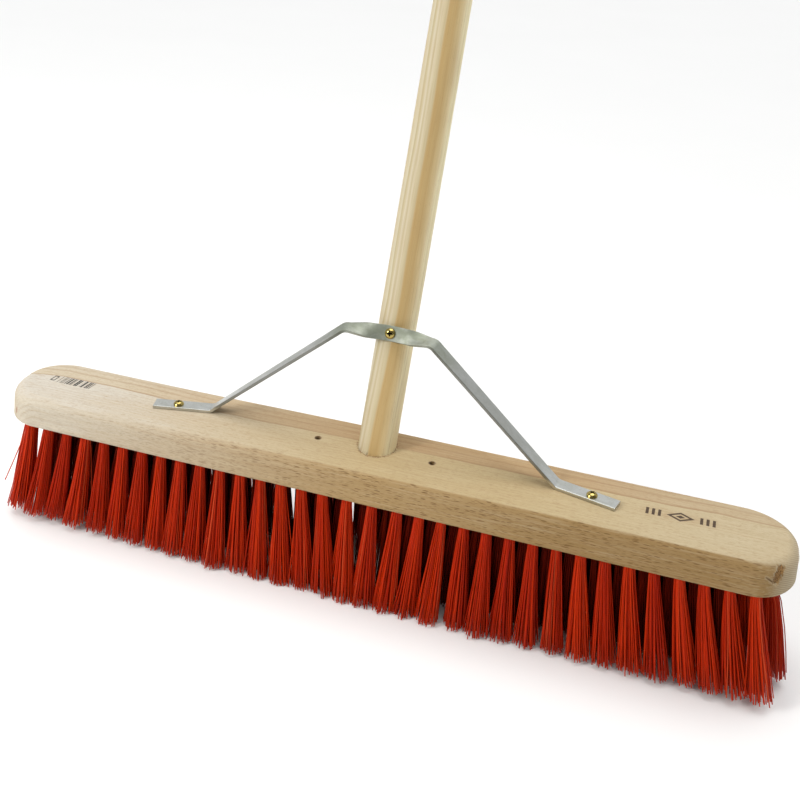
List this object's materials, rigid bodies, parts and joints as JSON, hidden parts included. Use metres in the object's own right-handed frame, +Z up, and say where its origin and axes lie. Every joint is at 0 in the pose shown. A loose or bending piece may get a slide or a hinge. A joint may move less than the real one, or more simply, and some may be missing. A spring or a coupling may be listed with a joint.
{
  "type": "push broom",
  "caption": "Wide push broom: wooden block with rows of splayed red plastic tufts, an angled wooden handle and a bent flat steel stay screwed to both.",
  "frame": {"origin": "middle of the sweeping face, on the plane the bristle tips are trimmed to, under the middle of the block", "axes": "+X along the head, +Y the way the handle leans (towards the user), +Z up, square to the sweeping face"},
  "size_m": [0.6255, 0.5941, 1.3918],
  "materials": {
    "block_wood": "sanded, unvarnished",
    "handle_wood": "smooth turned, unvarnished",
    "stay_steel": "bright zinc plated",
    "screw_steel": "yellow zinc plated",
    "bristle": "satin extruded filament",
    "anchor_wire": "drawn wire"
  },
  "bodies": {
    "root": {"head_block": "block_wood", "handle": "handle_wood", "stay": "stay_steel", "foot_screw_left": "screw_steel", "foot_screw_right": "screw_steel", "handle_screw": "screw_steel", "tuft_row_1": "bristle", "tuft_row_2": "bristle", "tuft_row_3": "bristle", "tuft_row_4": "bristle", "anchor_row_1": "anchor_wire", "anchor_row_2": "anchor_wire", "anchor_row_3": "anchor_wire", "anchor_row_4": "anchor_wire"}
  },
  "joints": []
}
